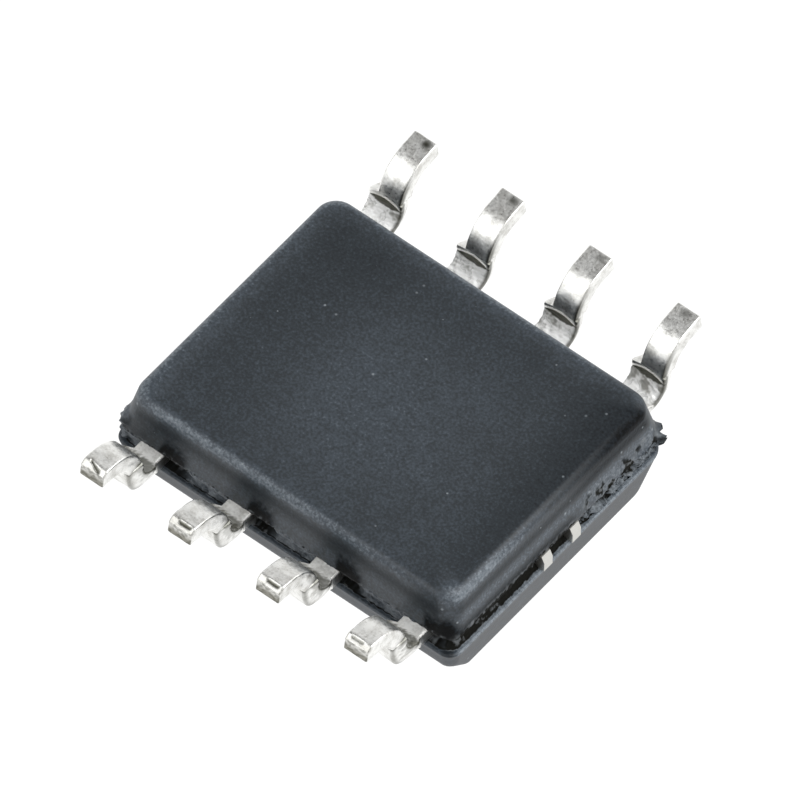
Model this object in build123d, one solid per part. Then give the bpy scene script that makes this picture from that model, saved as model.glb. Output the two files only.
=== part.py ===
import os
from math import cos, radians, sin, tan

from build123d import *

# Eight-lead small-outline package, lying on its marked face with its leads in the air.
# Millimetres, +Z up, origin under the middle of the marked face.
# X runs along the two rows of leads and Y across them; pins 1 to 4 are on the -Y side.

# Rows of leads
lead_pitch = 1.27
leads_per_row = 4
end_margin = 0.555           # centre of the last lead to the end of the body

# Moulded body
body_width = 3.92            # rim of the marked half, across the rows
marked_half_height = 0.65
underside_half_height = 0.62
standoff = 0.15              # underside to the soldering plane of the feet
draft_angle = 10.0
rim_ledge = 0.035            # the rim stands this far outside the other half
band_recess = 0.04           # the parting band lies this far inside the other half
rim_corner_radius = 0.18
face_corner_radius = 0.26
underside_edge_radius = 0.12
marked_edge_radius = 0.08
pin_one_bevel = 0.30         # 45 degree bevel along the marked edge of pins 1 to 4
dimple_diameter = 0.50       # round mark beside pin 1
dimple_depth = 0.04
dimple_margin = 0.22         # dimple to the edges of the marked face
flash_reach = 0.05           # broken flash outside two corners of the parting zone
flash_run = 0.30
flash_thickness = 0.11

# Leads, formed from the leadframe strip
frame_thickness = 0.23
lead_width = 0.335           # riser and foot
neck_width = 0.33            # where a lead leaves the body
stub_width = 0.475           # cut dam bar
stub_start = 0.14            # body side to the full width of the stub
stub_rise = 0.27             # stub above the shoulder, up the riser
shoulder_length = 0.345      # body side to the inner face of the riser
foot_reach = 0.68            # inner face of the riser to the tip
foot_angle = 8.5
knee_radius = 0.18           # hollow side of the knee
foot_bend_radius = 0.555     # full side of the bend into the foot
bend_fit = 0.98              # share of the straight lengths that the bend may use
crease_radius = 0.06         # mark of the forming edge across the riser
crease_depth = 0.022

# Inner fingers, paddle and tie bars
neck_depth = 0.36            # straight neck inside the body side
finger_run = 0.35            # neck to the full-width end
finger_pad = 0.20            # full-width end that takes the bond
finger_width = 0.42
finger_lean = 0.30           # an outer finger leans this far towards the middle
finger_gap = 0.20            # end of a finger to the paddle
paddle_downset = 0.15
tie_bar_length = 1.275
tie_bar_width = 0.15
tie_bar_spacing = 0.51
tie_bar_slope = 0.30         # run of the down-set bend
tie_bar_proud = 0.055        # cut end outside the body
cut_slant_run = 0.04         # slanted upper part of the cut end
cut_slant_rise = 0.09

# Die, its adhesive and its wires
die_end_margin = 0.40        # edge of the paddle to the die, along the rows
die_side_margin = 0.25
die_thickness = 0.25
attach_thickness = 0.025
attach_border = 0.05
wire_diameter = 0.03
wire_sides = 8               # flats round the section of a wire
wire_loop = 0.16             # loop height beyond the face of the die
wire_bend = 0.05
wire_flat = 0.5              # level share of the way from pad to finger
pad_inset = 0.10             # bond pad to the edges of the die
bond_inset = 0.12            # bond on a finger to its inner end

# Levels and half sizes
body_length = (leads_per_row - 1) * lead_pitch + 2 * end_margin
half_length = body_length / 2
half_width = body_width / 2
frame_bottom = marked_half_height
frame_top = frame_bottom + frame_thickness
underside = frame_top + underside_half_height
foot_plane = underside + standoff
base_length = body_length - 2 * rim_ledge
base_width = body_width - 2 * rim_ledge
riser = half_width + shoulder_length
neck_start = half_width - neck_depth
pad_start = neck_start - finger_run
finger_end = pad_start - finger_pad
paddle_width = 2 * (finger_end - finger_gap)
paddle_length = base_length - 2 * tie_bar_length
paddle_bottom = frame_bottom + paddle_downset
paddle_top = paddle_bottom + frame_thickness
die_length = paddle_length - 2 * die_end_margin
die_width = paddle_width - 2 * die_side_margin
attach_bottom = paddle_bottom - attach_thickness
die_bottom = attach_bottom - die_thickness


def prism(points, bottom, top):
    face = Plane.XY.offset(bottom) * make_face(Polyline(*points, close=True))
    return extrude(face, top - bottom)


# A drafted half of the moulding, from its wide end at the parting zone to its smaller face
def drafted_half(length, width, wide_level, face_level):
    shrink = 2 * abs(face_level - wide_level) * tan(radians(draft_angle))
    wide = Plane.XY.offset(wide_level) * RectangleRounded(length, width, rim_corner_radius)
    face = Plane.XY.offset(face_level) * RectangleRounded(length - shrink, width - shrink, face_corner_radius)
    return loft([wide, face], ruled=True)


def underside_half():
    half = drafted_half(base_length, base_width, frame_top, underside)
    return fillet(half.faces().sort_by(Axis.Z)[-1].edges(), underside_edge_radius)


def marked_half():
    half = drafted_half(body_length, body_width, frame_bottom, 0)
    half = fillet(half.faces().sort_by(Axis.Z)[0].edges(), marked_edge_radius)
    inset = marked_half_height * tan(radians(draft_angle))
    edge = inset - half_width
    bevel = Polyline((edge + pin_one_bevel, 0), (edge - pin_one_bevel, 0),
                     (edge - pin_one_bevel, 2 * pin_one_bevel), close=True)
    half -= extrude(Plane.YZ * make_face(bevel), half_length, both=True)
    margin = dimple_margin + dimple_diameter / 2
    dimple = Cylinder(dimple_diameter / 2, 2 * dimple_depth)
    return half - Pos(half_length - inset - margin, edge + pin_one_bevel + margin, 0) * dimple


# Sunk band as thick as the leadframe, with a shard of flash left at two corners
def parting_band():
    outline = RectangleRounded(base_length - 2 * band_recess, base_width - 2 * band_recess, rim_corner_radius)
    band = extrude(Plane.XY.offset(frame_bottom) * outline, frame_thickness)
    corner_x = base_length / 2
    corner_y = base_width / 2
    shard = prism([(corner_x - flash_run, corner_y), (corner_x - flash_run, corner_y - flash_run),
                   (corner_x, corner_y - flash_run), (corner_x + flash_reach, corner_y - flash_reach),
                   (corner_x, corner_y)],
                  frame_top - flash_thickness, frame_top)
    return band + shard + shard.rotate(Axis.Z, 180)


# Side view of a lead: shoulder, hollow knee, riser, full bend and foot that tips towards the board
def lead_profile():
    angle = radians(foot_angle)
    turn = 90 - foot_angle
    across = Vector(-sin(angle), cos(angle))
    tip_top = Vector(riser + foot_reach, foot_plane)
    tip_bottom = tip_top - across * frame_thickness
    heel = foot_plane - foot_reach * tan(angle)
    room = min(heel - frame_top - knee_radius, foot_reach / cos(angle)) / tan(radians(turn) / 2)
    full_bend = min(foot_bend_radius, bend_fit * room)
    hollow_bend = full_bend - frame_thickness
    bend = Vector(riser + full_bend, heel - full_bend * tan(radians(turn) / 2))
    knee = Vector(riser - knee_radius, frame_top + knee_radius)
    outer = riser + frame_thickness
    return make_face([
        Line((neck_start, frame_top), (knee.X, frame_top)),
        CenterArc((knee.X, knee.Y), knee_radius, -90, 90),
        Line((riser, knee.Y), (riser, bend.Y)),
        CenterArc((bend.X, bend.Y), full_bend, 180, -turn),
        Line(bend + across * full_bend, tip_top),
        Line(tip_top, tip_bottom),
        Line(tip_bottom, bend + across * hollow_bend),
        CenterArc((bend.X, bend.Y), hollow_bend, 90 + foot_angle, turn),
        Line((outer, bend.Y), (outer, knee.Y)),
        CenterArc((knee.X, knee.Y), knee_radius + frame_thickness, 0, -90),
        Line((knee.X, frame_bottom), (neck_start, frame_bottom)),
        Line((neck_start, frame_bottom), (neck_start, frame_top)),
    ])


# Outer part of a lead: the profile, wide at the cut dam bar and narrow in its neck, riser and foot
def formed_lead():
    profile = Plane.YZ * lead_profile()
    neck = neck_width / 2
    stub = stub_width / 2
    stub_end = riser + 2 * frame_thickness
    step = frame_top + stub_rise
    plan = [(-neck, neck_start), (-neck, half_width), (-stub, half_width + stub_start), (-stub, stub_end),
            (stub, stub_end), (stub, half_width + stub_start), (neck, half_width), (neck, neck_start)]
    shoulder = extrude(profile, stub, both=True) & prism(plan, frame_bottom, step)
    upper_zone = Pos(0, riser, (step + foot_plane) / 2) * Box(stub_width, 4 * foot_reach, foot_plane - step)
    blade = extrude(profile, lead_width / 2, both=True) & upper_zone
    crease = Cylinder(crease_radius, stub_width, rotation=(0, 90, 0))
    crease_height = frame_top + knee_radius + crease_radius
    return shoulder + blade - Pos(0, riser + crease_depth - crease_radius, crease_height) * crease


def inner_finger(lean):
    neck = neck_width / 2
    tip = finger_width / 2
    plan = [(-neck, neck_start), (lean - tip, pad_start), (lean - tip, finger_end),
            (lean + tip, finger_end), (lean + tip, pad_start), (neck, neck_start)]
    return prism(plan, frame_bottom, frame_top)


# Paddle and its four tie bars, all one piece of the strip
def make_paddle():
    paddle = Pos(0, 0, paddle_bottom + frame_thickness / 2) * Box(paddle_length, paddle_width, frame_thickness)
    start = paddle_length / 2
    end = base_length / 2 + tie_bar_proud
    bar = Polyline((0, paddle_bottom), (start, paddle_bottom), (start + tie_bar_slope, frame_bottom),
                   (end, frame_bottom), (end, frame_top - cut_slant_rise), (end - cut_slant_run, frame_top),
                   (start + tie_bar_slope, frame_top), (start, paddle_top), (0, paddle_top), close=True)
    bar = extrude(Plane.XZ * make_face(bar), tie_bar_width / 2, both=True)
    for side in (-tie_bar_spacing / 2, tie_bar_spacing / 2):
        placed = Pos(0, side, 0) * bar
        paddle += placed + placed.rotate(Axis.Z, 180)
    return paddle


# A wire drops from its pad on the die, runs level and climbs into the face of its finger
def make_wire(pad_x, finger_x):
    pad = Vector(pad_x, die_width / 2 - pad_inset, die_bottom)
    bond = Vector(finger_x, finger_end + bond_inset, frame_bottom)
    low = pad - Vector(0, 0, wire_loop)
    level = low + Vector(bond.X - pad.X, bond.Y - pad.Y, 0) * wire_flat
    sunk_end = bond + (bond - level).normalized() * wire_diameter
    path = FilletPolyline(pad, low, level, sunk_end, radius=wire_bend)
    return sweep(Plane(pad, z_dir=(0, 0, -1)) * RegularPolygon(wire_diameter / 2, wire_sides), path=path)


# One row of leads with their wires, on the +Y side from -X to +X
def make_row():
    row = []
    middle = (leads_per_row - 1) / 2
    pad_pitch = (die_length - 2 * pad_inset) / (leads_per_row - 1)
    for index in range(leads_per_row):
        place = (index - middle) * lead_pitch
        lean = {0: finger_lean, leads_per_row - 1: -finger_lean}.get(index, 0)
        lead = Pos(place, 0, 0) * (formed_lead() + inner_finger(lean))
        wire = make_wire((index - middle) * pad_pitch, place + lean) - lead
        row.append((lead, wire))
    return row


os.makedirs("parts", exist_ok=True)

die_paddle = make_paddle()
silicon_die = Pos(0, 0, die_bottom + die_thickness / 2) * Box(die_length, die_width, die_thickness)
die_attach = Pos(0, 0, attach_bottom + attach_thickness / 2) * Box(
    die_length + 2 * attach_border, die_width + 2 * attach_border, attach_thickness)
pieces = {"die_paddle": die_paddle, "die_attach": die_attach, "silicon_die": silicon_die}

# Pins 1 to 4 run from +X to -X on the -Y side, and the rest back from -X to +X on the +Y side
far_row = make_row()
near_row = [(mirror(lead, Plane.XZ), mirror(wire, Plane.XZ)) for lead, wire in reversed(far_row)]
for number, (lead, wire) in enumerate(near_row + far_row, start=1):
    pieces[f"lead_{number}"] = lead
    pieces[f"bond_wire_{number}"] = wire

moulding = marked_half() + parting_band() + underside_half()
pieces["mould_body"] = moulding - list(pieces.values())

for name, piece in pieces.items():
    export_step(piece, f"parts/{name}.step")
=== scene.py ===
import bpy
import numpy as np
from mathutils import Matrix, Vector


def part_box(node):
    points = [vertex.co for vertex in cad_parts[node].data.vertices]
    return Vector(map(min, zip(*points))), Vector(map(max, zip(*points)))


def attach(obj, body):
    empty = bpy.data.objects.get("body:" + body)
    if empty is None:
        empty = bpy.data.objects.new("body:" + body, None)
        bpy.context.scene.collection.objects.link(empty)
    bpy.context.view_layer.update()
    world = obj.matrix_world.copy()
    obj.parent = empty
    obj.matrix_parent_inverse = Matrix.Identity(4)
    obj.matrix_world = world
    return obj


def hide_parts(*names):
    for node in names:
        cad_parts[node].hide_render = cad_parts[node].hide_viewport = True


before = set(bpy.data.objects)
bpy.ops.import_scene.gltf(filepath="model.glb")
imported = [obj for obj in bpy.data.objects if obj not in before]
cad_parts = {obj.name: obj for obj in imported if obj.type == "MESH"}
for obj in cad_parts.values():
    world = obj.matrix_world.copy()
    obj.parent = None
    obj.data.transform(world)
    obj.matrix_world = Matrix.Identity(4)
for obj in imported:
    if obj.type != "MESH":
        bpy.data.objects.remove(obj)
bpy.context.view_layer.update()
print("frame loaded:", len(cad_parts), "nodes")

metre = 1000.0  # shapes are worked out in millimetres and divided by this in the mesh


def hexToLinear(code):  # sRGB hex colour to linear red, green, blue, alpha
    shade = np.array([int(code[place:place + 2], 16) for place in (1, 3, 5)]) / 255
    linear = np.where(shade <= 0.04045, shade / 12.92, ((shade + 0.055) / 1.055) ** 2.4)
    return (*linear.tolist(), 1.0)


def addNode(tree, kind, inputs=None, **settings):  # a node with its settings; a socket as a value is linked
    made = tree.nodes.new("ShaderNode" + kind)
    for name, value in settings.items():
        setattr(made, name, value)
    for socket, value in (inputs or {}).items():
        if isinstance(value, bpy.types.NodeSocket):
            tree.links.new(value, made.inputs[socket])
        else:
            made.inputs[socket].default_value = value
    return made


def newMaterial(name):
    material = bpy.data.materials.new(name)
    material.use_nodes = True
    material.node_tree.nodes.clear()
    return material, material.node_tree


def setRamp(ramp, stops):  # stops are (place, colour)
    while len(ramp.elements) < len(stops):
        ramp.elements.new(1.0)
    for element, (place, colour) in zip(ramp.elements, stops):
        element.position = place
        element.color = colour


def grey(level):
    return (level, level, level, 1.0)


def smoothStep(start, end, value):  # 0 before start, 1 past end, cubic between; end may be the lower one
    share = np.clip((value - start) / (end - start), 0, 1)
    return share * share * (3 - 2 * share)


def hump(value, centre, width):  # bell curve: e to the minus square of the distance from the centre in widths
    return np.exp(-((value - centre) / width) ** 2)


# Unevenness: cosine waves of about one length, in random directions and phases, added up to unit spread
def unevenness(points, length, seed, waves=24):
    rng = np.random.default_rng(seed)
    direction = rng.normal(size=(3, waves))
    pace = 2 * np.pi * rng.uniform(0.6, 1.5, waves) / length
    direction *= pace / np.linalg.norm(direction, axis=0)
    phase = rng.uniform(0, 2 * np.pi, waves)
    return np.cos(points @ direction + phase).sum(-1) * np.sqrt(2 / waves)


# Rounded outline for each ring: the corner centre plus the corner radius times (cos, sin) of the heading;
# along a side the heading stays, and centre and radius run from one corner's to the next one's
def roundedOutline(halfX, yPlus, yMinus, radius, cornerSteps, stepsX, stepsY):
    signX, signY = np.array([1, -1, -1, 1]), np.array([1, 1, -1, -1])
    heading, start, share = [], [], []
    for corner, steps in enumerate((stepsX, stepsY, stepsX, stepsY)):
        turned = 90 * corner + 90
        heading += [np.linspace(turned - 90, turned, cornerSteps, endpoint=False), np.full(steps, turned)]
        start += [np.full(cornerSteps + steps, corner)]
        share += [np.zeros(cornerSteps), np.linspace(0, 1, steps, endpoint=False)]
    heading = np.radians(np.concatenate(heading))
    start, share = np.concatenate(start), np.concatenate(share)
    end = (start + 1) % 4
    radius = np.broadcast_to(radius.reshape(len(halfX), -1), (len(halfX), 4))  # one for all corners, or four
    cornerX = signX * (halfX[:, None] - radius)
    cornerY = np.where(signY > 0, yPlus[:, None] - radius, radius - yMinus[:, None])
    centreX, centreY, bend = (value[:, start] * (1 - share) + value[:, end] * share
                              for value in (cornerX, cornerY, radius))
    return centreX + bend * np.cos(heading), centreY + bend * np.sin(heading), heading


# Closed skin over rings of points: quads between neighbouring rings, and a fan to the middle of each end ring
def skinRings(rings, attributes):
    rows, columns = rings.shape[:2]
    index = np.arange(rows * columns).reshape(rows, columns)
    after = np.roll(index, -1, axis=1)
    quads = np.stack([index[:-1], after[:-1], after[1:], index[1:]], -1).reshape(-1, 4)
    first = np.full(columns, rows * columns)
    startFan = np.stack([first, after[0], index[0]], -1)
    endFan = np.stack([first + 1, index[-1], after[-1]], -1)
    points = np.concatenate([rings.reshape(-1, 3), rings[[0, -1]].mean(axis=1)])
    values = {}
    for name, value in attributes.items():
        values[name] = np.concatenate([value.ravel(), value[[0, -1]].mean(axis=1)])
    return points, quads.tolist() + startFan.tolist() + endFan.tolist(), values


def makePiece(name, rings, attributes, material):
    points, faces, values = skinRings(rings, attributes)
    mesh = bpy.data.meshes.new(name)
    mesh.from_pydata((points / metre).tolist(), [], faces)
    for key, value in values.items():
        layer = mesh.attributes.new(key, "FLOAT", "POINT")
        layer.data.foreach_set("value", value.astype(np.float32))
    mesh.polygons.foreach_set("use_smooth", np.ones(len(mesh.polygons), dtype=bool))
    mesh.materials.append(material)
    mesh.validate()
    piece = bpy.data.objects.new(name, mesh)
    bpy.context.scene.collection.objects.link(piece)
    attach(piece, "root")
    return piece


# Epoxy moulding compound, from a spark-eroded mould: dark blue-grey, matte, with a fine even grain, pale
# specks of dust, paler edges and middle that are a painted highlight and a painted reflection, painted shade
# on the walls and beside the leads, and a rough dark break where the flash at the parting zone came away,
# whose dark also paints shadow in the lead pits and at one corner
compound = {
    "colours": {"shadowBlack": "#050607", "deep": "#14181c", "plain": "#242a2f", "paler": "#384048",
                "rubbed": "#767e85", "broken": "#151512", "crumb": "#7c8083", "dust": "#868d92"},
    "grain": 0.035, "mottle": 0.13, "cloud": 0.9, "breakGrain": 0.15,  # lengths in millimetres
    "speckSpacing": 0.17, "speckSize": 0.026, "bumpDepth": 0.004, "bumpStrength": 0.8,
    "grainShare": 0.75, "mottleShare": 0.18, "cloudShare": 0.12, "wearAndLightShare": 0.40, "cleanShare": -0.31,
    "rough": (0.38, 0.52), "brokenRough": 0.85, "gloss": (0.08, 0.5), "brokenGloss": 0.1, "dullBelow": -0.9,
}


def mouldCompound():
    material, tree = newMaterial("epoxyMouldCompound")
    colours = {name: hexToLinear(code) for name, code in compound["colours"].items()}
    place = addNode(tree, "TexCoord").outputs["Object"]
    # wear: pale where rubbed, dark where dull, and also painted highlight, reflection and shade
    wear = addNode(tree, "Attribute", attribute_name="wear").outputs["Fac"]
    broken = addNode(tree, "Attribute", attribute_name="brokenFlashAndShadow").outputs["Fac"]
    scale = {key: metre / compound[key] for key in ("grain", "mottle", "cloud", "breakGrain", "speckSpacing")}
    grain = addNode(tree, "TexNoise", {"Vector": place, "Scale": scale["grain"], "Detail": 2.0,
                                       "Roughness": 0.6}).outputs[0]
    mottle = addNode(tree, "TexNoise", {"Vector": place, "Scale": scale["mottle"], "Detail": 2.0}).outputs[0]
    cloud = addNode(tree, "TexNoise", {"Vector": place, "Scale": scale["cloud"], "Detail": 1.0}).outputs[0]
    crumbs = addNode(tree, "TexNoise", {"Vector": place, "Scale": scale["breakGrain"],
                                        "Detail": 3.0}).outputs[0]
    # tone: the three noises and the wear, with its painted light and shade, added up by their shares
    tone = 0.0
    for part, share in ((grain, "grainShare"), (mottle, "mottleShare"), (cloud, "cloudShare"),
                        (wear, "wearAndLightShare")):
        tone = addNode(tree, "Math", {0: part, 1: compound[share], 2: tone},
                       operation="MULTIPLY_ADD").outputs[0]
    shade = addNode(tree, "ValToRGB", {0: tone})
    # the ramp runs from the black of painted shadow to the pale tone that paints the edge highlight and the
    # middle's reflection
    setRamp(shade.color_ramp, [(0.0, colours["shadowBlack"]), (0.15, colours["deep"]), (0.44, colours["plain"]),
                               (0.66, colours["paler"]), (1.0, colours["rubbed"])])
    # dust: a soft round speck of its own size in the middle of each cell that comes near the surface
    cell = addNode(tree, "TexVoronoi", {"Vector": place, "Scale": scale["speckSpacing"]})
    pick = addNode(tree, "SeparateColor", {0: cell.outputs["Color"]}).outputs[0]
    size = addNode(tree, "Math", {0: pick, 1: 3.0}, operation="POWER").outputs[0]
    largest = compound["speckSize"] / compound["speckSpacing"]
    reach = addNode(tree, "Math", {0: size, 1: largest}, operation="MULTIPLY").outputs[0]
    speck = addNode(tree, "MapRange", {0: cell.outputs["Distance"], 1: reach, 2: 0.0}).outputs[0]
    dusty = addNode(tree, "Mix", {0: speck, 6: shade.outputs[0], 7: colours["dust"]},
                    data_type="RGBA").outputs[2]
    # break: dark, with paler crumbs where it is less bare; the same dark paints shadow in the lead pits, at
    # the near right corner and low on the end's near half
    clean = addNode(tree, "Math", {0: broken, 1: compound["cleanShare"], 2: crumbs}, operation="MULTIPLY_ADD")
    breakTone = addNode(tree, "ValToRGB", {0: clean.outputs[0]})
    setRamp(breakTone.color_ramp, [(0.28, colours["broken"]), (0.46, colours["crumb"])])
    colour = addNode(tree, "Mix", {0: broken, 6: dusty, 7: breakTone.outputs[0]}, data_type="RGBA").outputs[2]
    smooth, coarse = compound["rough"]
    satin = addNode(tree, "MapRange", {0: grain, 3: smooth, 4: coarse}).outputs[0]
    rough = addNode(tree, "Mix", {0: broken, 2: satin, 3: compound["brokenRough"]}).outputs[0]
    dull, glossy = compound["gloss"]
    sheen = addNode(tree, "MapRange", {0: wear, 1: compound["dullBelow"], 2: 0.0, 3: dull,
                                       4: glossy}).outputs[0]
    gloss = addNode(tree, "Mix", {0: broken, 2: sheen, 3: compound["brokenGloss"]}).outputs[0]
    height = addNode(tree, "Math", {0: crumbs, 1: broken, 2: grain}, operation="MULTIPLY_ADD").outputs[0]
    bump = addNode(tree, "Bump", {"Height": height, "Distance": compound["bumpDepth"] / metre,
                                  "Strength": compound["bumpStrength"]})
    shader = addNode(tree, "BsdfPrincipled", {"Base Color": colour, "Roughness": rough, "IOR": 1.5,
                                              "Specular IOR Level": gloss, "Normal": bump.outputs[0]})
    addNode(tree, "OutputMaterial", {"Surface": shader.outputs[0]})
    return material


# Matte tin plate over the strip: a pale slightly warm grey metal with a satin pebbled surface, whiter and
# duller where the knee strained it, brown-grey base metal where it was cut, grime in its creases, and the
# same dark grey as painted shade in the near knees' folds and along the far bends' right edges
plating = {
    "colours": {"tin": "#f8f8f5", "shade": "#d0cfca", "strainedTin": "#fefefd", "hollow": "#979690",
                "crack": "#5c5b52", "baseMetal": "#86847b", "grimeAndShade": "#45453a"},
    "pebble": 0.03, "blotch": 0.13, "crackSpacing": 0.15, "bumpDepth": 0.003,  # lengths in millimetres
    "pebbleShare": 0.35, "crackWidth": 0.04, "crackShare": 0.5, "crazedShare": 0.9, "bumpStrength": 0.6,
    "rough": (0.27, 0.42), "strainedRough": 0.55, "strainedMetallic": 0.1,
}


def tinPlate():
    material, tree = newMaterial("matteTinPlate")
    colours = {name: hexToLinear(code) for name, code in plating["colours"].items()}
    place = addNode(tree, "TexCoord").outputs["Object"]
    bare, grimeAndShade, strained = (addNode(tree, "Attribute", attribute_name=name).outputs["Fac"]
                             for name in ("bareMetal", "grimeAndShade", "strained"))
    scale = {key: metre / plating[key] for key in ("pebble", "blotch", "crackSpacing")}
    pebble = addNode(tree, "TexNoise", {"Vector": place, "Scale": scale["pebble"], "Detail": 3.0}).outputs[0]
    blotch = addNode(tree, "TexNoise", {"Vector": place, "Scale": scale["blotch"], "Detail": 3.0}).outputs[0]
    craze = addNode(tree, "TexNoise", {"Vector": place, "Scale": scale["crackSpacing"],
                                       "Detail": 2.0}).outputs[0]
    patchy = addNode(tree, "Mix", {0: plating["pebbleShare"], 2: blotch, 3: pebble}).outputs[0]
    tone = addNode(tree, "ValToRGB", {0: patchy})
    setRamp(tone.color_ramp, [(0.36, colours["shade"]), (0.56, colours["tin"])])
    # crazing of the strained knee: soft broken lines where a noise passes its middle, and greyer hollows
    off = addNode(tree, "Math", {0: craze, 1: 0.5}, operation="SUBTRACT").outputs[0]
    off = addNode(tree, "Math", {0: off}, operation="ABSOLUTE").outputs[0]
    line = addNode(tree, "MapRange", {0: off, 1: 0.0, 2: plating["crackWidth"],
                                      3: plating["crackShare"], 4: 0.0}).outputs[0]
    crazed = addNode(tree, "MapRange", {0: strained, 1: 0.6, 2: 1.0, 4: plating["crazedShare"]}).outputs[0]
    patch = addNode(tree, "MapRange", {0: blotch, 1: 0.42, 2: 0.55, 3: 0.0, 4: crazed}).outputs[0]
    crack = addNode(tree, "Math", {0: line, 1: patch}, operation="MULTIPLY").outputs[0]
    hollow = addNode(tree, "ValToRGB", {0: craze})
    setRamp(hollow.color_ramp, [(0.36, colours["hollow"]), (0.48, colours["strainedTin"])])
    # layers from the plate outwards
    colour = tone.outputs[0]
    # the last layer is grime and painted shade
    for cover, layer in ((crazed, hollow.outputs[0]), (crack, colours["crack"]), (bare, colours["baseMetal"]),
                         (grimeAndShade, colours["grimeAndShade"])):
        colour = addNode(tree, "Mix", {0: cover, 6: colour, 7: layer}, data_type="RGBA").outputs[2]
    smooth, coarse = plating["rough"]
    satin = addNode(tree, "MapRange", {0: pebble, 1: 0.3, 2: 0.7, 3: smooth, 4: coarse}).outputs[0]
    rough = addNode(tree, "Mix", {0: strained, 2: satin, 3: plating["strainedRough"]}).outputs[0]
    metal = addNode(tree, "MapRange", {0: strained, 3: 1.0, 4: plating["strainedMetallic"]}).outputs[0]
    bump = addNode(tree, "Bump", {"Height": pebble, "Distance": plating["bumpDepth"] / metre,
                                  "Strength": plating["bumpStrength"]})
    shader = addNode(tree, "BsdfPrincipled", {"Base Color": colour, "Metallic": metal, "Roughness": rough,
                                              "Normal": bump.outputs[0]})
    addNode(tree, "OutputMaterial", {"Surface": shader.outputs[0]})
    return material


# Moulded body: rounded outlines stacked from the middle of the marked face, round its edge, up the wall, over
# the ledge and the rough parting band, up the other wall and over its rounded edge to the middle of the
# underside; headings are degrees from +X towards +Y, and corners go from +X+Y on in that sense
bodyForm = {
    "rimHalfX": 2.46, "ledge": 0.035, "bandRecess": 0.04, "draft": 10.0, "frameThickness": 0.23,
    "rimCorner": 0.18, "faceCorner": 0.26, "rimWorn": (0.30, 0.18, 0.18, 0.18),
    "markedCorner": (0.40, 0.24, 0.12, 0.10), "markedEdge": 0.08, "markedEdgeLean": 0.84,
    "undersideEdge": 0.12, "rimRound": 0.025, "bevel": 0.30, "bevelSoftness": 0.02, "bevelStop": 0.04,
    "dimpleRadius": 0.25, "dimpleDepth": 0.04, "dimpleMargin": 0.22, "dimpleSoft": (0.01, -0.03),
    "leadPitch": 1.27, "leadsPerRow": 4, "leadPit": 0.10, "leadPitReach": (0.17, 0.31, 0.58),
    "groove": 0.03, "crumble": 0.028, "crumblyFrom": (0.36, 0.46), "raggedEdge": 0.012,
    "jutLimits": (-0.06, 0.03), "sinkLimits": (-0.08, 0.16),
    "uneven": {"coarse": (0.16, 3), "finer": (0.06, 4), "holes": (0.30, 21), "lip": (0.09, 7),
               "speckle": (0.07, 11), "pits": (0.20, 22)},  # length of the waves and seed
    "chips": [{"heading": 30, "spread": 11, "size": 0.125, "depth": 0.35, "onWall": 0.7},
              {"heading": 66, "spread": 15, "size": 0.11, "depth": 0.6, "onWall": 0.8}], "chipLevel": 0.8,
    # a lump of flash at the near left corner; painted shadow at the near right corner; painted shade low on
    # the wall at the near left
    "lumpHeading": 212, "lumpSpread": 34, "rightCornerShadowHeading": 304, "rightCornerShadowSpread": 26,
    "leftCornerShadeHeading": 240, "leftCornerShadeSpread": 16,
    # wear shares: most paint light and shade on the body, as highlight, reflection, dips, lit bands and
    # shadow; lump and farFoot are pale wear
    "wear": {"middle": 0.33, "face": 0.08, "undersideEndShade": 0.42, "stripe": 0.13, "rightPart": 0.15,
             "leftPart": 0.10, "paintedEndGlow": 0.4, "paintedEndDip": 0.5, "paintedEndFoot": 0.45, "paintedNearFoot": 0.34,
             "nearWallShade": 0.08, "paintedNearDip": 0.40, "nearLeftShade": 0.4, "farFoot": 0.9, "paintedFarDip": 0.5,
             "lump": 0.5, "leftCornerShade": 0.8, "pit": 1.9, "rightCornerShadow": 1.5},  # shares added or taken away
    "cornerSteps": 20, "stepsX": 235, "stepsY": 185,
}


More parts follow.
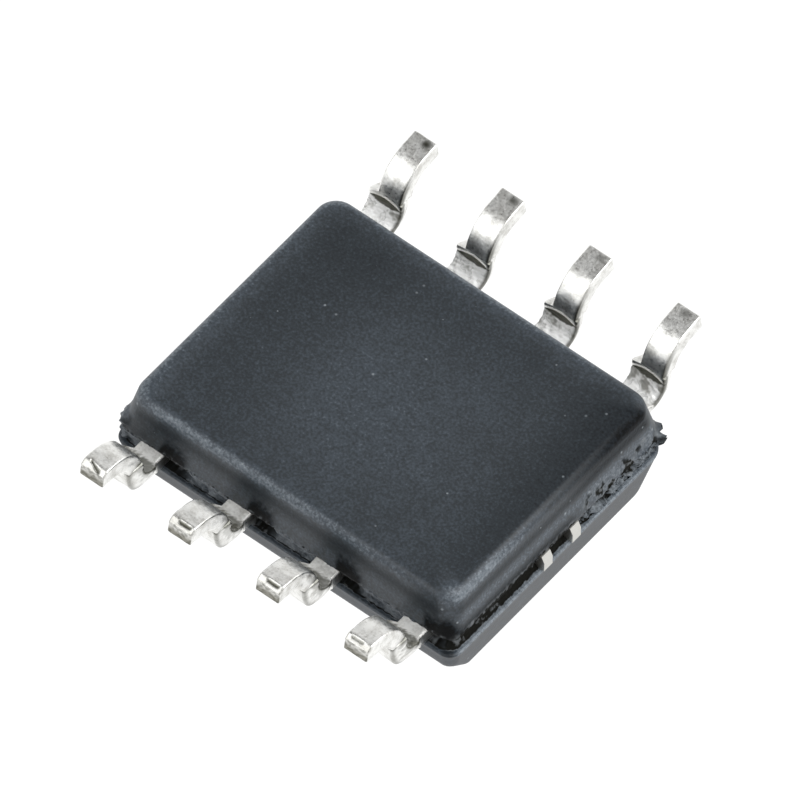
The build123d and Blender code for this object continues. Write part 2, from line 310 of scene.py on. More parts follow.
def bodyProfile(form, levels):  # height, inset, corner radii and share of the outline for each ring
    draft = np.radians(form["draft"])
    slope = np.tan(draft)
    edgeRound = form["undersideEdge"]
    inner = np.concatenate([np.linspace(0.05, 0.66, 5), np.linspace(0.69, 0.92, 18), [0.95, 0.98]])
    low = np.concatenate([[0, 0.003, 0.01, 0.02, 0.035, 0.055], np.linspace(0.08, 0.45, 9), [0.53, 0.60]])
    edge = np.clip(1 - low / form["markedEdge"], 0, 1)
    edgeInset = form["markedEdgeLean"] * form["markedEdge"] * (1 - np.sqrt(1 - edge ** 2))
    wall = (levels["bottom"] - low) * slope + edgeInset
    turn = np.linspace(0, np.pi / 2, 5)
    rimLevel = levels["bottom"] - form["rimRound"] * (1 - np.sin(turn))
    rimInset = form["rimRound"] * (1 - np.cos(turn))
    bandInset = form["ledge"] + form["bandRecess"]
    ledge = np.linspace(form["rimRound"], bandInset, 7)[1:-1]
    band = np.linspace(levels["bottom"], levels["top"], 16)
    middle = levels["under"] - edgeRound
    upper = np.concatenate([np.linspace(0, 0.25, 6), np.linspace(0.25, 1, 11)[1:-1]])
    upper = upper * (middle - levels["top"]) + levels["top"]
    upperInset = form["ledge"] + (upper - levels["top"]) * slope
    roll = np.radians(np.linspace(90 - form["draft"], 0, 12))
    centre = form["ledge"] + (edgeRound + (middle - levels["top"]) * np.sin(draft)) / np.cos(draft)
    rollLevel = middle + edgeRound * np.cos(roll)
    rollInset = centre - edgeRound * np.sin(roll)
    outer = np.array([0.985, 0.965, 0.94, 0.91, 0.87, 0.78, 0.65, 0.45, 0.25, 0.05])
    counts = {"inner": len(inner), "low": len(low), "rim": len(rimLevel), "ledge": len(ledge),
              "band": len(band), "wall": len(upper), "roll": len(roll), "under": len(outer)}
    ends = np.cumsum(list(counts.values()))
    rows = {name: slice(end - count, end) for (name, count), end in zip(counts.items(), ends)}
    height = np.concatenate([np.zeros(len(inner)), low, rimLevel, np.full(len(ledge), levels["bottom"]), band,
                             upper, rollLevel, np.full(len(outer), levels["under"])])
    share = np.concatenate([inner, np.ones(len(height) - len(inner) - len(outer)), outer])
    inset = np.concatenate([np.full(len(inner), wall[0]), wall, rimInset, ledge,
                            np.full(len(band), bandInset), upperInset, rollInset,
                            np.full(len(outer), rollInset[-1])])
    away = np.abs(height - levels["bottom"]) / (levels["under"] - levels["bottom"])
    lower = np.clip(1 - height / levels["bottom"], 0, 1)[:, None]
    marked = form["rimWorn"] + (np.array(form["markedCorner"]) - form["rimWorn"]) * lower
    plain = form["rimCorner"] + (form["faceCorner"] - form["rimCorner"]) * np.clip(away, 0, 1)[:, None]
    corner = np.where(np.arange(len(height))[:, None] < rows["band"].start, marked, plain)
    return {"height": height, "inset": inset, "corner": corner, "share": share, "roll": roll, "rows": rows}


def bodyRings(form, levels, reachY, profile):  # smooth body, with the bevel and the round mark of pin 1
    height, inset, share = profile["height"], profile["inset"], profile["share"][:, None]
    # bevel along pins 1 to 4: soft minimum of the wall's reach and that of a plane at 45 degrees
    reach = reachY - inset
    plane = reachY + height - levels["bottom"] * np.tan(np.radians(form["draft"])) - form["bevel"]
    bevelled = (reach + plane - np.hypot(reach - plane, form["bevelSoftness"])) / 2
    nearReach = np.where(height < levels["bottom"] - form["bevelStop"], bevelled, reach)
    x, y, heading = roundedOutline(form["rimHalfX"] - inset, reach, nearReach, profile["corner"],
                                   form["cornerSteps"], form["stepsX"], form["stepsY"])
    rings = np.stack([x * share, y * share, np.broadcast_to(height[:, None], x.shape)], -1)
    dimpleX = x[0].max() - form["dimpleMargin"] - form["dimpleRadius"]
    dimpleY = y[0].min() + form["dimpleMargin"] + form["dimpleRadius"]
    away = np.hypot(rings[..., 0] - dimpleX, rings[..., 1] - dimpleY)
    outside, inside = (form["dimpleRadius"] + shift for shift in form["dimpleSoft"])
    sunk = form["dimpleDepth"] * smoothStep(outside, inside, away)
    rings[..., 2] += np.where(rings[..., 2] < 1e-6, sunk, 0)
    return rings, heading


# the weights of the lead pits and of the near right corner carry painted shadow
def bodyZones(form, bandX, heading):  # weights round the outline: two sides, lead pits, lump and dark corner
    degrees = np.degrees(heading) % 360
    places = (np.arange(form["leadsPerRow"]) - (form["leadsPerRow"] - 1) / 2) * form["leadPitch"]
    along = (bandX[:, None] - places) * -np.sin(heading)[:, None]
    start, middle, end = form["leadPitReach"]
    pit = (smoothStep(start - 0.10, start, along) * smoothStep(end, middle, along)).max(-1)
    return {
        "degrees": degrees,
        "near": np.clip(-np.sin(heading), 0, 1) ** 8,
        "right": np.clip(np.cos(heading), 0, 1) ** 8,
        "pit": pit * np.abs(np.sin(heading)) ** 2,
        "lump": np.exp(-((degrees - form["lumpHeading"]) / form["lumpSpread"]) ** 4),
        "rightCornerShadow": hump(degrees, form["rightCornerShadowHeading"], form["rightCornerShadowSpread"]),
    }


# Parting band: a groove where the flash broke away, pits beside the leads, crumbs on half of one end, a lump
# at one corner and chips at another; points move in or out along their heading, and what comes back is how
# bare they are, together with painted shadow in the pits beside the leads, at one near corner and low on the
# near half of one end
def breakBand(form, levels, profile, rings, heading, zones, limits):
    near, right, pit, lump = (zones[key] for key in ("near", "right", "pit", "lump"))
    rows, uneven = profile["rows"], form["uneven"]
    rough = slice(rows["ledge"].start, rows["wall"].start + 10)
    part = rings[rough]
    rise = (part[:, :1, 2] - levels["bottom"]) / form["frameThickness"]  # 0 at the ledge, 1 at the other wall
    inBand = np.zeros((part.shape[0], 1))
    inBand[rows["band"].start - rough.start:rows["band"].stop - rough.start] = 1
    aboveLedge = smoothStep(0.0, 0.12, rise)
    coarse, finer = unevenness(part, *uneven["coarse"]), unevenness(part, *uneven["finer"])
    crumbly = right * smoothStep(*form["crumblyFrom"], part[..., 1])
    holes = crumbly * smoothStep(0.0, 0.7, unevenness(part, *uneven["holes"]) + 0.5 * finer)
    crumbs = crumbly * (1 - holes)
    filled = np.maximum(crumbs, near * smoothStep(0.35, 0.95, rise) * (1 - pit))  # flash that stayed
    groove = form["groove"] * (0.9 + 0.3 * coarse) * (1 - 0.6 * near) + form["leadPit"] * pit
    sink = (groove * (1 - filled) - form["bandRecess"] * filled) * inBand * aboveLedge
    lumpFill = lump * smoothStep(2.05, 1.55, rise + 0.15 * coarse) * aboveLedge
    sink = sink * (1 - lumpFill) - lumpFill * (profile["inset"][rough][:, None] - 0.004)
    loose = np.maximum((0.3 + crumbly) * inBand, 0.7 * lumpFill)
    jut = form["crumble"] * (0.6 * finer + 0.4 * coarse) * loose
    onWall = smoothStep(1.5, 1.0, rise) * (1 - inBand) * (rise > 0.5)
    chip = np.zeros(part.shape[:2])
    for piece in form["chips"]:
        upright = inBand * hump(rise, form["chipLevel"], piece["depth"]) + piece["onWall"] * onWall
        chip += piece["size"] * hump(zones["degrees"], piece["heading"], piece["spread"]) * upright
    move = np.clip(jut, *form["jutLimits"]) - np.clip(sink, *form["sinkLimits"]) + chip * (1 + 0.3 * finer)
    part[..., 0] = np.clip(part[..., 0] + move * np.cos(heading), *limits)
    part[..., 1] += move * np.sin(heading)
    lip = rings[rows["band"].stop - 1:rows["wall"].start + 1]
    lip[..., 2] += form["raggedEdge"] * (1 - 0.5 * near) * unevenness(lip[:1], *uneven["lip"])
    # bare along the band, on the inner half of the ledge and in spots low on the wall, and painted shadow in
    # the lead pits, at one near corner and low on the end's near half
    broken = np.zeros(rings.shape[:2])
    bare = (1 - 0.75 * crumbs) * (1 - 0.7 * lump)
    bare = bare * (1 - near * (1 - pit) * smoothStep(0.55, 0.8, rise + 0.1 * finer)) * (1 - 0.65 * near)
    # painted shadow: the break's dark in the pits beside the leads and at the near right corner
    shadowBlack = np.maximum(pit, zones["rightCornerShadow"]) * (0.9 + 0.15 * finer)
    broken[rough] = inBand * np.clip(np.maximum(bare, shadowBlack), 0, 1)
    depth = np.linspace(0, 1, rows["ledge"].stop - rows["ledge"].start)[:, None]
    onLedge = slice(0, len(depth))
    bareLedge = smoothStep(0.35, 0.8, depth + 0.15 * finer[onLedge])
    broken[rows["ledge"]] = bareLedge * (1 - 0.7 * crumbly[onLedge])
    wall = rings[rows["wall"]]
    rising = wall[..., 2] - levels["top"]
    speckle = unevenness(wall, *uneven["speckle"])
    zones["speckle"] = speckle
    ragged = near * smoothStep(0.5, 1.3, speckle) * smoothStep(0.06, 0.0, rising)
    # painted shadow low on the near half of the end
    shadow = right * smoothStep(0.37, 0.25, wall[..., 1]) * smoothStep(0.07, 0.0, rising + 0.01 * speckle)
    pitted = right * smoothStep(0.0, 0.35, unevenness(wall, *uneven["pits"]) + 0.3 * speckle)
    pitted = pitted * smoothStep(0.40, 0.55, wall[..., 1]) * smoothStep(0.24, 0.12, rising + 0.03 * speckle)
    broken[rows["wall"]] = np.clip(ragged + shadow + pitted, 0, 1)
    return broken


# Wear and painted light: above 0 paler, below 0 darker. A painted highlight along the rounded edges and a
# painted reflection in the middle of the underside, painted shade and a painted lit band on the walls,
# painted shadow beside the leads and at the corners, and pale wear on the lump and the crumbs
def bodyWearAndPaintedLight(form, levels, profile, rings, zones):
    near, right, pit, lump, rightCornerShadow = (zones[key] for key in ("near", "right", "pit", "lump", "rightCornerShadow"))
    rows, amount = profile["rows"], form["wear"]
    x, y = rings[..., 0], rings[..., 1]
    others = 1 - near - right
    # painted highlight along the rounded edge, strongest on the near side and the end's near half; below 0 it
    # is painted shade on the end's far half
    paintedEdgeHighlight = near * (0.60 - 0.17 * x) * smoothStep(-2.4, -1.7, x) + right * (0.4 - 0.7 * y) + 0.75 * others
    paintedEdgeHighlight = np.clip(paintedEdgeHighlight, -0.6, 1.15)
    wear = np.zeros(rings.shape[:2])
    # underside and its rounded edge: a painted reflection paler in the middle, painted shade towards the end,
    # darker in a stripe and on the flat left of the end, and the painted edge highlight
    top = slice(rows["roll"].start, None)
    # painted reflection: paler towards the middle of the underside
    middle = ((1 - (x / 2.45) ** 2) * (1 - (y / 1.95) ** 2)) ** 2
    # painted shade towards the right end
    endwardShade = smoothStep(1.0, 2.4, x) * (1 + 0.25 * y)
    face = amount["middle"] * middle - amount["face"] - amount["undersideEndShade"] * endwardShade
    face = face - amount["stripe"] * hump(x, -1.35, 0.45)
    plain = amount["rightPart"] * smoothStep(1.6, 0.9, x) * (1 + 0.45 * y)
    plain = plain + amount["leftPart"] * smoothStep(-1.5, -2.0, x)
    inward = -(1 - profile["share"][rows["under"]]) * 500  # goes on from the edge's turn in degrees
    turned = np.concatenate([np.degrees(profile["roll"]), inward])[:, None]
    edge = hump(np.minimum(turned, 52), 52, 32 + 45 * others)
    flat = hump(np.maximum(turned, 0), 0, 20)
    wear[top] = face[top] + paintedEdgeHighlight[top] * edge - plain[top] * flat
    # wall: painted light and shade in bands along it (a dark dip under the edge, a lit band and a darker foot
    # on the end, a darker near side with a lighter foot), the edge highlight running on, the far half of the
    # end with pale crumbs low and painted shade under the edge, the lump, and painted shade at the near left,
    # at the left corner, beside the leads and at the right corner
    wall = rings[rows["wall"]]
    x, y = wall[..., 0], wall[..., 1]
    rising, below = wall[..., 2] - levels["top"], levels["under"] - wall[..., 2]
    # bands down the wall: the dip is painted shade, the glow a painted lit band, and the foot is painted
    # darker on the end and lighter on the near side
    paintedDip, glow, foot = hump(below, 0.25, 0.07), hump(below, 0.38, 0.07), smoothStep(0.42, 0.58, below)
    paintedEndFoot = amount["paintedEndFoot"] * foot * (2 - smoothStep(0.2, 0.4, y))
    side = right * (amount["paintedEndGlow"] * glow - amount["paintedEndDip"] * paintedDip - paintedEndFoot)
    paintedNearFoot = amount["paintedNearFoot"] * smoothStep(0.34, 0.46, below)
    side += near * (paintedNearFoot - amount["nearWallShade"] - amount["paintedNearDip"] * paintedDip)
    side += paintedEdgeHighlight[rows["wall"]] * hump(below, 0.08, 0.055)
    farHalf = right * smoothStep(0.0, 0.8, y)
    paintedFarDip = amount["paintedFarDip"] * hump(below, 0.17, 0.08)
    side += farHalf * (amount["farFoot"] * smoothStep(0.26, 0.06, rising) - paintedFarDip)
    side += amount["lump"] * lump * smoothStep(0.45, 0.15, rising)
    # painted shade on the near wall towards the left
    side -= amount["nearLeftShade"] * near * smoothStep(-1.4, -2.1, x) * smoothStep(0.2, 0.5, below)
    # painted shade low at the near left corner
    leftCornerShade = hump(zones["degrees"], form["leftCornerShadeHeading"], form["leftCornerShadeSpread"])
    side -= amount["leftCornerShade"] * leftCornerShade * smoothStep(0.3, 0.1, rising)
    # painted shadow beside the leads, over real pits
    side -= amount["pit"] * pit * smoothStep(0.34, 0.0, rising + 0.02 * zones["speckle"])
    # painted shadow at the near right corner
    side -= amount["rightCornerShadow"] * rightCornerShadow * smoothStep(0.36, 0.06, rising)
    wear[rows["wall"]] = side
    # marked half: darker on the end. Ledge and rim: paler on the end and near side as a painted highlight,
    # with painted shadow at the right corner. Band: pale crumbs and lump, and lighter on the near side as
    # painted light in its shade
    wear[rows["low"]] = -0.15 * right
    wear[rows["rim"].start:rows["ledge"].stop] = 0.9 * right + 0.2 * near - 0.5 * rightCornerShadow
    crumbly = right * smoothStep(*form["crumblyFrom"], rings[rows["band"]][..., 1])
    wear[rows["band"]] = 0.8 * crumbly + 0.3 * lump + 0.35 * near * (1 - pit)
    return wear


def makeBody(form, material):
    low, high = (np.array(corner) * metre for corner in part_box("mould_body"))
    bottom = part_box("lead_1")[0].z * metre
    levels = {"bottom": bottom, "top": bottom + form["frameThickness"], "under": high[2]}
    profile = bodyProfile(form, levels)
    rings, heading = bodyRings(form, levels, high[1], profile)
    zones = bodyZones(form, rings[profile["rows"]["band"].start, :, 0], heading)
    broken = breakBand(form, levels, profile, rings, heading, zones, (low[0], high[0]))
    wear = bodyWearAndPaintedLight(form, levels, profile, rings, zones)
    body = makePiece("mouldedBody", rings, {"brokenFlashAndShadow": broken, "wear": wear}, material)
    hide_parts("mould_body")


# Lead: a rounded section carried along the strip's middle line; the line's heading is level, turns up through
# the knee, stays upright, leans back through the bend and ends at the foot's angle, so each turn is an arc
leadForm = {
    "pitch": 1.27, "thickness": 0.23, "width": 0.335, "neckWidth": 0.33,
    "stubWidth": 0.475, "stubShift": 0.045, "stubStart": 0.14, "stubRise": 0.27,
    "shoulder": 0.345, "footReach": 0.68, "footAngle": 8.5, "kneeRadius": 0.18, "bendRadius": 0.555,
    "kneeCorner": 0.02, "nearKneeCorner": 0.015, "wave": 0.001,
    "buried": 0.30, "edgeRadius": 0.022, "tipRound": 0.018,
    "creaseThick": 0.055, "creaseBelow": 0.08, "creaseDepth": 0.012, "ridge": 0.007, "crumple": 0.003,
    "slitLength": 0.19, "slitBehind": 0.05, "slitDepth": 0.014, "tipDroop": 0.06, "tipDroopRun": 0.11,
    # length of the waves and what is added to the seed
    "uneven": {"ragged": (0.05, 60), "crumple": (0.09, 0), "wave": (0.14, 20), "mottle": (0.07, 80)},
    # the fold and right edge shares paint shade; the crease is dark; the rest is grime
    "grimeAndShade": {"crease": 0.95, "foldShade": 0.8, "outerEdge": 0.55, "earTop": 0.5, "shoulderEdge": 0.75,
              "cutSide": 0.35, "lowEdge": 0.75, "mottled": 0.45, "rightEdgeShade": 0.9},
    "creaseRun": 0.15, "tipRun": 0.16, "rows": {"knee": 62, "crease": 34, "bend": 52, "foot": 26},
    "cornerSteps": 5, "stepsX": 44, "stepsY": 18,
}


def leadRows(form, levels):  # place and inset of each row along the strip, and the knots of its path
    half = form["thickness"] / 2
    turn = np.radians(90 - form["footAngle"])
    lean = np.radians(form["footAngle"])
    heel = levels["foot"] - form["footReach"] * np.tan(lean)
    tangent = form["bendRadius"] * np.tan(turn / 2)
    lengths = [form["buried"] + form["shoulder"] - form["kneeRadius"],
               (form["kneeRadius"] + half) * np.pi / 2,
               heel - tangent - levels["top"] - form["kneeRadius"],
               (form["bendRadius"] - half) * turn,
               form["footReach"] / np.cos(lean) - tangent]
    knots = np.concatenate([[0], np.cumsum(lengths)])
    end, tip, rows = knots[-1], form["tipRound"], form["rows"]
    creaseEnd, tipStart = knots[2] + form["creaseRun"], end - form["tipRun"]
    shoulder = np.concatenate([[0, 0.5, 0.8], np.linspace(0.9, 1.0, 4, endpoint=False)]) * form["buried"]
    knee = np.linspace(form["buried"], knots[2], rows["knee"], endpoint=False)
    crease = np.linspace(knots[2], creaseEnd, rows["crease"], endpoint=False)
    bend = np.linspace(creaseEnd, tipStart, rows["bend"], endpoint=False)
    foot = np.linspace(tipStart, end - tip, rows["foot"])
    roll = np.radians(np.linspace(0, 90, 6)[1:])
    face = np.linspace(tip, half - 0.012, 12)[1:]
    place = np.concatenate([shoulder, knee, crease, bend, foot, end - tip + tip * np.sin(roll),
                            np.full(len(face), end)])
    inset = np.concatenate([np.zeros(len(place) - len(roll) - len(face)), tip * (1 - np.cos(roll)), face])
    stubEnd = knots[2] + form["stubRise"] - form["kneeRadius"]
    return {"place": place, "inset": inset, "knots": knots, "stubEnd": stubEnd}


def leadPath(form, levels, tipLean, strip):  # way out, height and heading of the strip's middle line
    place, knots, half = strip["place"], strip["knots"], form["thickness"] / 2
    footTurn = form["footAngle"] + tipLean
    turns = np.radians([0, 0, 90, 90, footTurn, footTurn])
    fine = np.linspace(0, knots[-1], 4001)
    bearing = np.interp((fine[:-1] + fine[1:]) / 2, knots, turns)
    wayOut = np.concatenate([[0], np.cumsum(np.cos(bearing))]) * fine[1] + levels["side"] - form["buried"]
    height = np.concatenate([[0], np.cumsum(np.sin(bearing))]) * fine[1] + levels["top"] - half
    return np.interp(place, fine, wayOut), np.interp(place, fine, height), np.interp(place, knots, turns)


def leadZones(form, wear, strip, across, through, around, seed):  # weights and places over one lead
    row, knots, stubEnd = strip["place"][:, None], strip["knots"], strip["stubEnd"]
    level = through / (form["thickness"] / 2)  # 1 on the face towards the body and the board, -1 on the other
    sideways = across * wear["facing"]  # along the world's X
    local = np.stack([across, np.broadcast_to(row, across.shape), through], -1)
    topSide = smoothStep(0.6, 0.95, level)
    leave = form["buried"]
    stub = smoothStep(leave + 0.08, leave + 0.14, row) * smoothStep(stubEnd + 0.015, stubEnd - 0.005, row)
    uneven = {}
    for key, (length, shift) in form["uneven"].items():
        uneven[key] = unevenness(local, length, seed + shift)
    # crease above the knee: straight below, curved above
    bow = (2.1 * sideways / form["stubWidth"]) ** 2
    crest = knots[2] + 0.008 + form["creaseThick"] * np.clip(1 - bow, 0, 1)
    foot = knots[2] - form["creaseBelow"] * np.clip(1.1 - bow, 0, 1) + 0.005 * uneven["ragged"]
    groove = smoothStep(foot, foot + 0.012, row) * smoothStep(crest + 0.004, crest - 0.012, row)
    # slit behind the tip
    aside = sideways - wear["slitPlace"]
    slitLine = row - knots[-1] + form["slitBehind"] - np.tan(np.radians(wear["slitTurn"])) * aside
    slit = wear["slit"] * topSide * hump(slitLine, 0, 0.017)
    slit = slit * smoothStep(form["slitLength"] * 0.55, form["slitLength"] * 0.35, np.abs(aside))
    return {
        "row": row, "level": level, "sideways": sideways, "aside": np.abs(across) / form["stubWidth"],
        "topSide": topSide, "sideFace": smoothStep(0.75, 0.95, np.abs(np.cos(around))),
        "endFace": smoothStep(knots[-1] - 0.016, knots[-1] - 0.004, row),
        "stub": stub, "crest": crest, "groove": groove, "slit": slit, **uneven,
    }


# Grime and painted shade: dark in the crease and the slit, a pit behind the tip, painted shade in the fold of
# the near knees, grime along the cut sides of the near stubs and on the near end faces, and painted shade
# along the right edge of the far bends
def leadGrimeAndShade(form, wear, strip, width, zone):
    knots, amount = strip["knots"], form["grimeAndShade"]
    row, level, sideways, ragged = (zone[key] for key in ("row", "level", "sideways", "ragged"))
    leave, end = form["buried"], knots[-1]
    pit = hump(row, end - 0.075, 0.07) * hump(sideways, wear["pitPlace"], 0.075) * zone["topSide"]
    pit = wear["pit"] * smoothStep(0.1, 1.1, pit)
    # painted shade in the near knee's hollow, where it faces the dark body
    foldShade = smoothStep(knots[1] - 0.06, knots[1] - 0.01, row + 0.008 * ragged) * (row < knots[2])
    foldShade = foldShade * zone["topSide"]
    outerEdge = hump(level, -0.85, 0.28) * smoothStep(0.40, 0.46, sideways / form["stubWidth"]) * zone["stub"]
    outerEdge = outerEdge * smoothStep(0.2, 0.45, (row - knots[1]) / (knots[2] - knots[1]))
    earTop = hump(row, strip["stubEnd"], 0.05) * smoothStep(0.33, 0.37, zone["aside"])
    shoulderEdge = zone["sideFace"] * hump(row, leave + 0.13, 0.05) * smoothStep(-0.6, 0.4, level)
    cutSide = zone["sideFace"] * zone["stub"] * smoothStep(-0.3, 0.5, level + 0.25 * zone["crumple"])
    lowEdge = smoothStep(-0.72, -0.95, level) * smoothStep(end - 0.03, end - 0.01, row)
    mottled = zone["endFace"] * smoothStep(-0.3, 1.0, zone["mottle"])
    # painted shade along the right edge of the far bends
    rightEdgeShade = hump(sideways, width[:, None] / 2 - 0.008, 0.024) * smoothStep(0.1, 0.6, level)
    rightEdgeShade = rightEdgeShade * smoothStep(leave + 0.12, leave + 0.2, row)
    rightEdgeShade = rightEdgeShade * smoothStep(knots[3] + 0.5, knots[3] + 0.15, row)
    nearMarks = {"foldShade": foldShade, "outerEdge": outerEdge, "earTop": earTop, "shoulderEdge": shoulderEdge,
                 "cutSide": cutSide, "lowEdge": lowEdge, "mottled": mottled}
    grimeAndShade = amount["crease"] * zone["topSide"] * zone["groove"] + zone["slit"] + pit
    grimeAndShade = grimeAndShade + wear["near"] * sum(amount[key] * mark for key, mark in nearMarks.items())
    return np.clip(grimeAndShade + (1 - wear["near"]) * amount["rightEdgeShade"] * rightEdgeShade, 0, 1)


def leadSkin(form, levels, wear, seed):
    strip = leadRows(form, levels)
    place, inset, knots, stubEnd = (strip[key] for key in ("place", "inset", "knots", "stubEnd"))
    wayOut, height, heading = leadPath(form, levels, wear["tipLean"], strip)
    half, ear, end = form["thickness"] / 2, form["stubWidth"], knots[-1]
    # width: neck, stub of the dam bar, then the plain strip
    stubStart = form["buried"] + form["stubStart"]
    changes = [stubStart - 0.05, stubStart, stubEnd - 0.012, stubEnd + 0.012]
    width = np.interp(place, changes, [form["neckWidth"], ear, ear, form["width"]])
    radius = np.maximum(form["edgeRadius"] - inset, 0.004)
    across, through, around = roundedOutline(width / 2 - inset, half - inset, half - inset, radius,
                                             form["cornerSteps"], form["stepsX"], form["stepsY"])
    zone = leadZones(form, wear, strip, across, through, around, seed)
    row, level, topSide = zone["row"], zone["level"], zone["topSide"]
    knee = smoothStep(knots[2] + 0.01, knots[2] - 0.03, row)
    bent = knee * smoothStep(knots[1] - 0.06, knots[1] + 0.06, row)
    # in and out of the surface: lip of the crease, crease, crumpled knee, slight waves and the slit
    lift = form["ridge"] * hump(row, zone["crest"] + 0.04, 0.02) - form["creaseDepth"] * zone["groove"]
    lift = topSide * (lift + form["crumple"] * zone["crumple"] * bent)
    lift = lift + form["wave"] * zone["wave"] - form["slitDepth"] * zone["slit"]
    # stub set to one side, with cut sides that lean in; fuller outer corner of the knee; drooping near tips
    slant = wear["cutSlant"] * zone["stub"] * np.clip((0.6 - level) / 1.6, 0, 1) * 2 * across / ear
    fuller = form["kneeCorner"] + form["nearKneeCorner"] * wear["near"]
    fuller = fuller * hump(row, (knots[1] + knots[2]) / 2, 0.10) * smoothStep(0.2, -0.8, level)
    droop = form["tipDroop"] * smoothStep(end - form["tipDroopRun"], end, row) ** 2 * (0.5 + 0.5 * level)
    across = across + lift * np.cos(around) - slant - form["stubShift"] * wear["facing"] * zone["stub"]
    through = through + lift * np.sin(around) - droop * wear["near"] - fuller
    # base metal on the cut end face, most on its outer half, and where near tips are rubbed
    bare = zone["endFace"] * (0.35 + 0.6 * smoothStep(0.6, -0.4, level + 0.05 * zone["ragged"]))
    rubbed = topSide * smoothStep(end - 0.075, end - 0.045, row + 0.006 * zone["ragged"]) * wear["near"]
    attributes = {"bareMetal": np.maximum(bare, 0.4 * rubbed),
                  "grimeAndShade": leadGrimeAndShade(form, wear, strip, width, zone),
                  "strained": topSide * (0.5 * knee + 0.5 * bent)}
    y = wayOut[:, None] - through * np.sin(heading)[:, None]
    z = height[:, None] + through * np.cos(heading)[:, None]
    return np.stack([-across, y, z], -1), attributes


# Wear of each lead as it lies: slits on the near tips, a pit on the far ones
plainWear = {"slit": 0.0, "slitTurn": 0, "slitPlace": 0.0, "tipLean": 0.0, "pit": 0.0, "pitPlace": 0.0}
nearWear = {"near": 1.0, "facing": 1, "cutSlant": 0.045}
farWear = {"near": 0.0, "facing": -1, "cutSlant": 0.07}
leadWear = {
    1: {"slit": 0.7, "slitPlace": -0.02, "tipLean": -0.5},
    2: {"slit": 1.0, "slitPlace": 0.03},
    3: {"slit": 1.0, "slitPlace": 0.03},
    4: {"slit": 1.0, "slitPlace": 0.0, "slitTurn": 20, "tipLean": -1.0},
    5: {"pit": 1.0, "pitPlace": 0.06},
    6: {"pit": 0.8, "pitPlace": 0.05},
    7: {"pit": 0.5, "pitPlace": 0.05},
    8: {"pit": 0.6, "pitPlace": 0.0},
}


def makeLeads(form, material):
    low, high = (np.array(corner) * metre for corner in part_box("lead_1"))
    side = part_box("mould_body")[1].y * metre
    levels = {"top": low[2] + form["thickness"], "foot": high[2], "side": side}
    for number, marks in leadWear.items():
        nearRow = number <= 4
        wear = {**plainWear, **(nearWear if nearRow else farWear), **marks}
        rings, attributes = leadSkin(form, levels, wear, 100 + number)
        if nearRow:
            rings = rings * np.array([-1, -1, 1])  # half a turn about the upright axis
        rings[..., 0] += (2.5 - number if nearRow else number - 6.5) * form["pitch"]
        lead = makePiece(f"tinnedLead{number}", rings, attributes, material)
        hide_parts(f"lead_{number}")


makeBody(bodyForm, mouldCompound())
print("body made")
makeLeads(leadForm, tinPlate())
print("leads made")

# Inner pieces that stay as the solids are: copper strip, silver-filled adhesive, silicon and gold wire; the
# ends of the tie bars, outside the body, are tinned like the leads
innerFinish = {
    "strippedCopper": {"nodes": ["die_paddle"], "colour": "#b87a55", "second": "#a06848",
                       "metallic": 1.0, "rough": 0.4, "grain": 0.05, "tinnedFrom": 2.34},
    "silverEpoxy": {"nodes": ["die_attach"], "colour": "#8d8f90", "second": "#a8aaab",
                    "metallic": 0.0, "rough": 0.6, "grain": 0.02},
    "polishedSilicon": {"nodes": ["silicon_die"], "colour": "#5a6272", "second": "#6a7484",
                        "metallic": 0.6, "rough": 0.2, "grain": 0.1},
    "goldWire": {"nodes": [f"bond_wire_{number}" for number in range(1, 9)], "colour": "#e0b25a",
                 "second": "#cf9f48", "metallic": 1.0, "rough": 0.25, "grain": 0.02},
}
for name, finish in innerFinish.items():
    material, tree = newMaterial(name)
    place = addNode(tree, "TexCoord").outputs["Object"]
    grain = addNode(tree, "TexNoise", {"Vector": place, "Scale": metre / finish["grain"], "Detail": 2.0})
    tone = addNode(tree, "ValToRGB", {0: grain.outputs[0]})
    setRamp(tone.color_ramp, [(0.35, hexToLinear(finish["colour"])), (0.65, hexToLinear(finish["second"]))])
    colour = tone.outputs[0]
    if "tinnedFrom" in finish:
        along = addNode(tree, "SeparateXYZ", {0: place}).outputs["X"]
        along = addNode(tree, "Math", {0: along}, operation="ABSOLUTE").outputs[0]
        border = finish["tinnedFrom"] / metre
        tinned = addNode(tree, "Math", {0: along, 1: border}, operation="GREATER_THAN").outputs[0]
        tin = hexToLinear(plating["colours"]["shade"])
        colour = addNode(tree, "Mix", {0: tinned, 6: colour, 7: tin}, data_type="RGBA").outputs[2]
    shader = addNode(tree, "BsdfPrincipled", {"Base Color": colour, "Metallic": finish["metallic"],
                                              "Roughness": finish["rough"]})
    addNode(tree, "OutputMaterial", {"Surface": shader.outputs[0]})
    for node in finish["nodes"]:
        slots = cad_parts[node].data.materials
        slots.clear()
        slots.append(material)
print("inner pieces finished")

# Pale floor: white to the camera and in reflections, with the shadow kept by a share of plain diffuse
floorForm = {"half": 300.0, "level": -0.01, "colour": "#f4f4f4", "glow": 0.94, "strength": 1.10}
material, tree = newMaterial("paleStudioFloor")
path = addNode(tree, "LightPath").outputs
seen = addNode(tree, "Math", {0: path["Is Camera Ray"], 1: path["Is Glossy Ray"]},
               operation="MAXIMUM").outputs[0]
seen = addNode(tree, "Math", {0: seen, 1: path["Is Transmission Ray"]}, operation="MAXIMUM").outputs[0]
glow = addNode(tree, "Math", {0: seen, 1: floorForm["glow"]}, operation="MULTIPLY").outputs[0]
paint = addNode(tree, "BsdfDiffuse", {"Color": hexToLinear(floorForm["colour"])}).outputs[0]
white = addNode(tree, "Emission", {"Color": grey(1.0), "Strength": floorForm["strength"]}).outputs[0]
mixed = addNode(tree, "MixShader", {0: glow, 1: paint, 2: white}).outputs[0]
addNode(tree, "OutputMaterial", {"Surface": mixed})
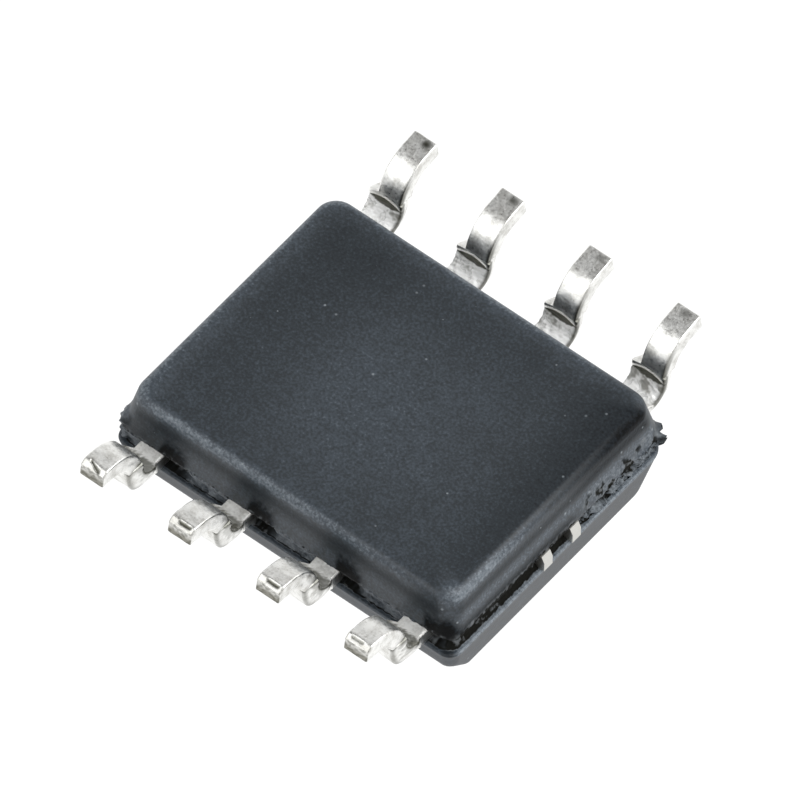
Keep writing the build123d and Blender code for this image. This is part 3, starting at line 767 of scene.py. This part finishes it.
half, level = floorForm["half"] / metre, floorForm["level"] / metre
corners = [(-half, -half, level), (half, -half, level), (half, half, level), (-half, half, level)]
floorMesh = bpy.data.meshes.new("studioFloor")
floorMesh.from_pydata(corners, [], [(0, 1, 2, 3)])
floorMesh.materials.append(material)
floor = bpy.data.objects.new("studioFloor", floorMesh)
bpy.context.scene.collection.objects.link(floor)

# Light tent: bright round the horizon, dimmer towards the top, with soft boxes in front on the left, behind
# on the right and high on the right; white where the camera looks past the floor
tent = {
    "strength": 1.5,
    "stops": [(0.0, 0.66), (0.2, 0.64), (0.34, 0.60), (0.63, 0.48), (0.80, 0.28), (0.89, 0.15), (1.0, 0.12)],
    "boxes": [{"toward": (-0.36, -0.63, 0.69), "inner": 12, "outer": 23.5, "strength": 1.8},
              {"toward": (0.60, 0.47, 0.65), "inner": 18, "outer": 32, "strength": 1.7},
              {"toward": (0.42, 0.05, 0.90), "inner": 14, "outer": 29, "strength": 2.8}],
}
world = bpy.data.worlds.new("lightTent")
world.use_nodes = True
tree = world.node_tree
tree.nodes.clear()
direction = addNode(tree, "TexCoord").outputs["Generated"]
upward = addNode(tree, "SeparateXYZ", {0: direction}).outputs["Z"]
ramp = addNode(tree, "ValToRGB", {0: upward})
setRamp(ramp.color_ramp, [(place, grey(shade)) for place, shade in tent["stops"]])
bright = addNode(tree, "Math", {0: ramp.outputs[0], 1: tent["strength"]}, operation="MULTIPLY").outputs[0]
for box in tent["boxes"]:
    toward = Vector(box["toward"]).normalized()
    outer, inner = (np.cos(np.radians(box[key])) for key in ("outer", "inner"))
    aimed = addNode(tree, "VectorMath", {0: direction, 1: toward}, operation="DOT_PRODUCT").outputs["Value"]
    patch = addNode(tree, "MapRange", {0: aimed, 1: outer, 2: inner, 4: box["strength"]},
                    interpolation_type="SMOOTHSTEP").outputs[0]
    bright = addNode(tree, "Math", {0: bright, 1: patch}, operation="ADD").outputs[0]
sky = addNode(tree, "Background", {"Color": grey(1.0), "Strength": bright}).outputs[0]
backdrop = addNode(tree, "Background", {"Color": grey(1.0), "Strength": 1.0}).outputs[0]
path = addNode(tree, "LightPath").outputs
mixed = addNode(tree, "MixShader", {0: path["Is Camera Ray"], 1: sky, 2: backdrop}).outputs[0]
addNode(tree, "OutputWorld", {"Surface": mixed})
bpy.context.scene.world = world

# Camera: far off with a long lens, so the body's edges stay nearly parallel
shot = {"azimuth": 37.86, "elevation": 53.85, "roll": 1.23, "distance": 300.0, "lens": 1200.0, "sensor": 36.0,
        "aimHeight": 1.65, "aimRight": 0.0911, "aimUp": -0.1401}
turn, rise, roll = (np.radians(shot[key]) for key in ("azimuth", "elevation", "roll"))
back = Vector((np.sin(turn) * np.cos(rise), -np.cos(turn) * np.cos(rise), np.sin(rise)))
level = Vector((np.cos(turn), np.sin(turn), 0))
upright = back.cross(level)
right = level * np.cos(roll) + upright * np.sin(roll)
up = upright * np.cos(roll) - level * np.sin(roll)
aim = Vector((0, 0, shot["aimHeight"])) + right * shot["aimRight"] + up * shot["aimUp"]
stand = (aim + back * shot["distance"]) / metre
lens = bpy.data.cameras.new("longLens")
lens.lens = shot["lens"]
lens.sensor_width = shot["sensor"]
lens.clip_start = 0.01
lens.clip_end = 2.0
camera = bpy.data.objects.new("longLens", lens)
rowsOf = [(right[axis], up[axis], back[axis], stand[axis]) for axis in range(3)]
camera.matrix_world = Matrix((*rowsOf, (0, 0, 0, 1)))
bpy.context.scene.collection.objects.link(camera)
bpy.context.scene.camera = camera
bpy.context.scene.view_settings.view_transform = "Standard"
print("stage, light and camera set")
